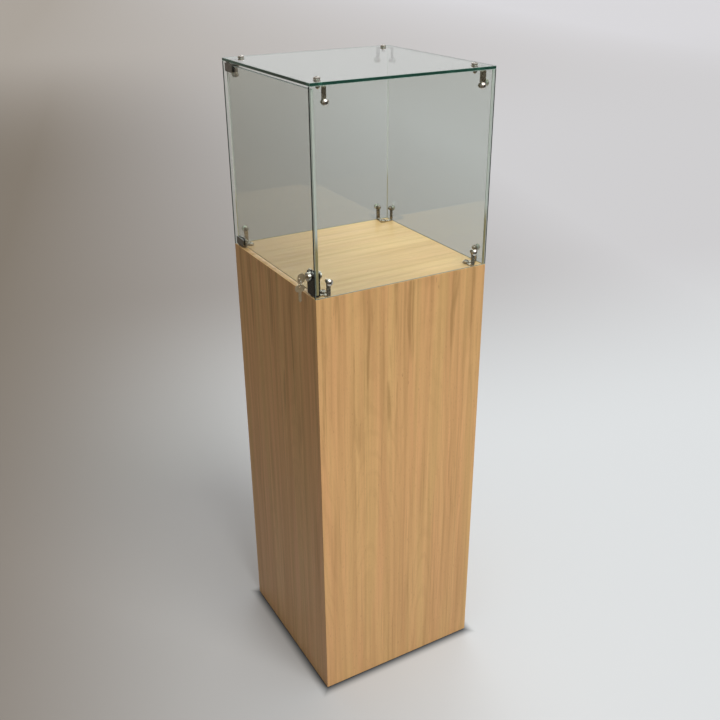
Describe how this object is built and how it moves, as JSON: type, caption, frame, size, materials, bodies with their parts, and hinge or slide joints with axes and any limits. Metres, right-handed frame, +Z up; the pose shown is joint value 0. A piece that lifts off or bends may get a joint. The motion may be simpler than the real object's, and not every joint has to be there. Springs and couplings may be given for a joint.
{
  "type": "pedestal display case",
  "caption": "Square veneered plinth with a glass display case on top: bolted corner brackets, a pivot-hung glass side door and a cam lock with keys.",
  "frame": {"origin": "middle of the base board's underside, on the floor", "axes": "+Z up; +X to the viewer's right and +Y to the back, seen from the front; the glass door is on the -X side, hinged at the back"},
  "size_m": [0.4371, 0.4118, 1.4059],
  "materials": {
    "veneer": "crown-cut beech-like veneer, satin lacquer, grain upright",
    "deck_veneer": "the same veneer, satin lacquer, grain from left to right",
    "board": "unfinished board",
    "timber": "planed softwood",
    "glass": "clear float glass with polished green edges",
    "nickel": "bright nickel on pressed steel",
    "chrome": "polished chrome",
    "black_nickel": "black nickel plate",
    "zinc_steel": "zinc-plated steel",
    "black_steel": "black oxide",
    "nylon": "natural nylon",
    "liner": "thin rubber sheet",
    "key_metal": "nickel-plated brass, worn"
  },
  "bodies": {
    "case": {"plinth_front": "veneer", "plinth_back": "veneer", "plinth_left": "veneer", "plinth_right": "veneer", "display_deck": "deck_veneer", "base_board": "board", "corner_battens": "timber", "deck_cleats": "timber", "base_screws": "zinc_steel", "glass_front": "glass", "glass_back": "glass", "glass_right": "glass", "glass_top": "glass", "deck_bracket_front_left": "nickel", "deck_bracket_front_right": "nickel", "deck_bracket_back_right": "nickel", "deck_bracket_back_left": "nickel", "top_bracket_front_left": "nickel", "top_bracket_front_right": "nickel", "top_bracket_back_right": "nickel", "top_bracket_back_left": "nickel", "deck_screws": "chrome", "top_screws": "chrome", "top_bushes": "nylon", "top_nuts": "chrome", "front_screws": "chrome", "front_bushes": "nylon", "front_nuts": "chrome", "back_screws": "chrome", "back_bushes": "nylon", "back_nuts": "chrome", "right_screws": "chrome", "right_bushes": "nylon", "right_nuts": "chrome", "pivot_pins": "zinc_steel", "pivot_washers": "nylon"},
    "door": {"glass_door": "glass", "hinge_clamp_bottom": "black_nickel", "hinge_clamp_top": "black_nickel", "clamp_liners": "liner", "clamp_set_screws": "black_steel", "lock_body": "black_nickel", "lock_liners": "liner", "lock_barrel": "chrome", "barrel_nut": "chrome"},
    "plug": {"lock_plug": "chrome", "lock_cam": "chrome", "cam_screw": "chrome"},
    "key": {"door_key": "key_metal"},
    "ring": {"key_ring": "chrome"},
    "spare": {"spare_key": "key_metal"}
  },
  "joints": [
    {"name": "door_swing", "type": "hinge", "parent": "case", "child": "door", "pos_m": [-0.192, 0.182, 1.2], "axis": [0, 0, -1], "range_deg": [0, 110]},
    {"name": "lock_turn", "type": "hinge", "parent": "door", "child": "plug", "pos_m": [-0.2058, -0.176, 1.041], "axis": [-1, 0, 0], "range_deg": [0, 90]},
    {"name": "key_pull", "type": "slide", "parent": "plug", "child": "key", "axis": [-1, 0, 0], "range_m": [0, 0.022]},
    {"name": "ring_swing", "type": "hinge", "parent": "key", "child": "ring", "pos_m": [-0.2212, -0.176, 1.03995], "axis": [0, 1, 0], "range_deg": [-8, 45]},
    {"name": "spare_swing", "type": "hinge", "parent": "ring", "child": "spare", "pos_m": [-0.2212, -0.176, 1.02595], "axis": [0, 1, 0], "range_deg": [-8, 45]}
  ]
}
